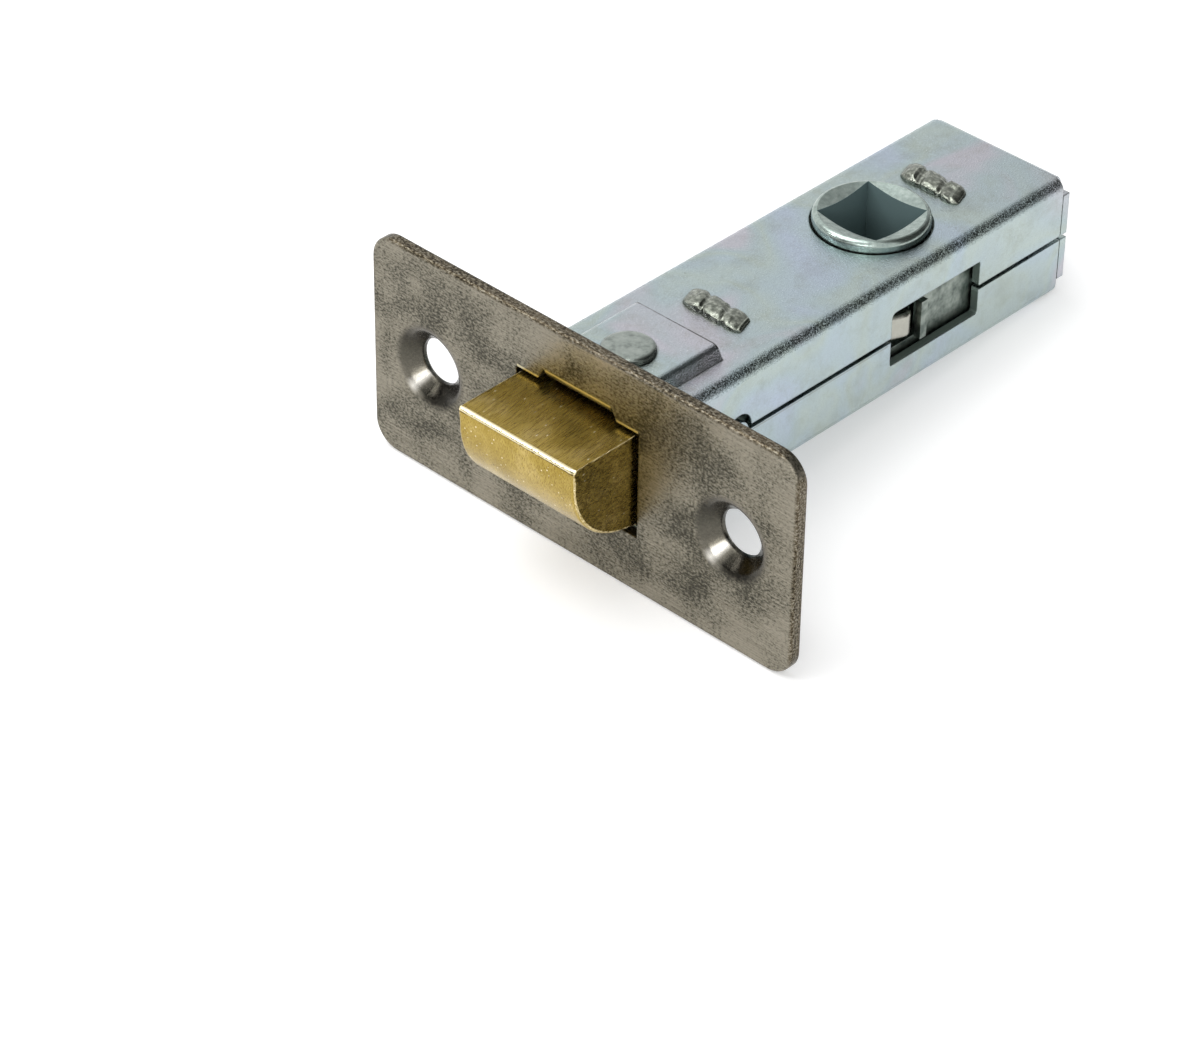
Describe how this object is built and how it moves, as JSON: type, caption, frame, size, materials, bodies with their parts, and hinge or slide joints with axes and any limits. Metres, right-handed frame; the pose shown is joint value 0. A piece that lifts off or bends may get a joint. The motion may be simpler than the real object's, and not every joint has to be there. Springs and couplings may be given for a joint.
{
  "type": "tubular door latch",
  "caption": "Tubular mortice latch: faceplate with two screw holes, sprung bevelled bolt, folded steel case and a turning hub with a square spindle socket.",
  "frame": {"origin": "centre of the bolt hole on the faceplate's front face, on the bolt's axis", "axes": "+Y into the door along the case, +X along the faceplate's length, +Z along the hub's axis, opposite the bolt's bevel"},
  "size_m": [0.058, 0.074, 0.026],
  "materials": {
    "patinated_steel": "cold-rolled steel with an antiqued grey-brown patina, waxed",
    "zinc_plated_steel": "bright zinc plate with a clear, slightly iridescent passivate",
    "staked_steel": "zinc-plated steel, staked over cold",
    "brass": "drawn brass, linished with a fine cross grain",
    "raw_steel": "plain cold-rolled steel, oiled",
    "spring_steel": "oil-tempered spring wire",
    "plated_casting": "cast hub, barrel-polished and zinc-plated"
  },
  "bodies": {
    "case": {"faceplate": "patinated_steel", "faceplate_rivet": "zinc_plated_steel", "upper_shell": "zinc_plated_steel", "lower_shell": "zinc_plated_steel", "front_pillar": "staked_steel", "rear_pillar": "staked_steel"},
    "bolt": {"bolt_head": "brass", "tail_stirrup": "raw_steel", "tail_rivet_left": "raw_steel", "tail_rivet_right": "raw_steel", "bolt_spring": "spring_steel"},
    "follower": {"follower": "plated_casting"}
  },
  "joints": [
    {"name": "follower_turn", "type": "hinge", "parent": "case", "child": "follower", "pos_m": [0, 0.044, 0], "axis": [0, 0, 1], "range_deg": [0, 59]},
    {"name": "bolt_slide", "type": "slide", "parent": "case", "child": "bolt", "axis": [0, 1, 0], "range_m": [0, 0.008], "stiffness_N_per_m": 800, "springref_m": -0.006, "deforming": ["bolt_spring"]}
  ],
  "couplings": [
    {"joint": "follower_turn", "follows": "bolt_slide", "rad_per_m": 128.72}
  ]
}
